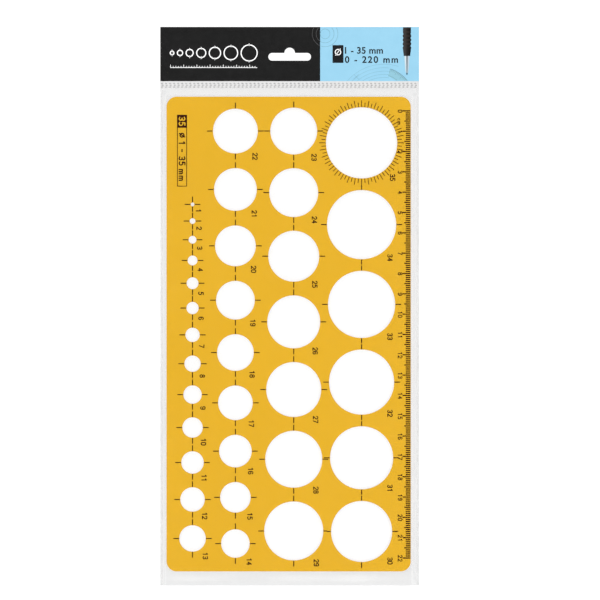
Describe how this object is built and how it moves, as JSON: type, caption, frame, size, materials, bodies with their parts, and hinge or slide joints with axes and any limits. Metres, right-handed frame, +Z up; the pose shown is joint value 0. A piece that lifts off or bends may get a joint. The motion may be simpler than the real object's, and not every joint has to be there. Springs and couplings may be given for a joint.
{
  "type": "circle template",
  "caption": "Flat amber plastic circle template with columns of round holes and a ruler edge, in a clear open-ended film sleeve with a slotted hanging header.",
  "frame": {"origin": "centre of the sleeve's footprint, on the surface that it lies on", "axes": "+X across the width towards the ruler edge, +Y along the length towards the header, +Z up out of the printed face"},
  "size_m": [0.1274, 0.275, 0.0018],
  "materials": {
    "amber_plastic": "clear amber sheet, polished faces",
    "plate_ink": "printed ink",
    "clear_film": "clear thin film",
    "film_weld": "clear welded edge",
    "heat_seal": "knurled heat seal",
    "header_white": "white header ply",
    "header_black": "printed black",
    "header_blue": "printed sky blue"
  },
  "bodies": {
    "sleeve": {"back_film": "clear_film", "front_film": "clear_film", "left_side_weld": "film_weld", "right_side_weld": "film_weld", "seal_band": "heat_seal", "header_back": "header_white", "header_front": "header_white", "header_black_panel": "header_black", "header_blue_panel": "header_blue"},
    "template": {"template_plate": "amber_plastic", "centre_marks_print": "plate_ink", "degree_ring_print": "plate_ink", "ruler_ticks_print": "plate_ink", "ruler_numerals_print": "plate_ink", "diameter_numerals_print": "plate_ink", "title_block_print": "plate_ink"}
  },
  "joints": [
    {"name": "template_slide", "type": "slide", "parent": "sleeve", "child": "template", "axis": [0, -1, 0], "range_m": [0, 0.242], "deforming": ["front_film", "back_film"]}
  ]
}
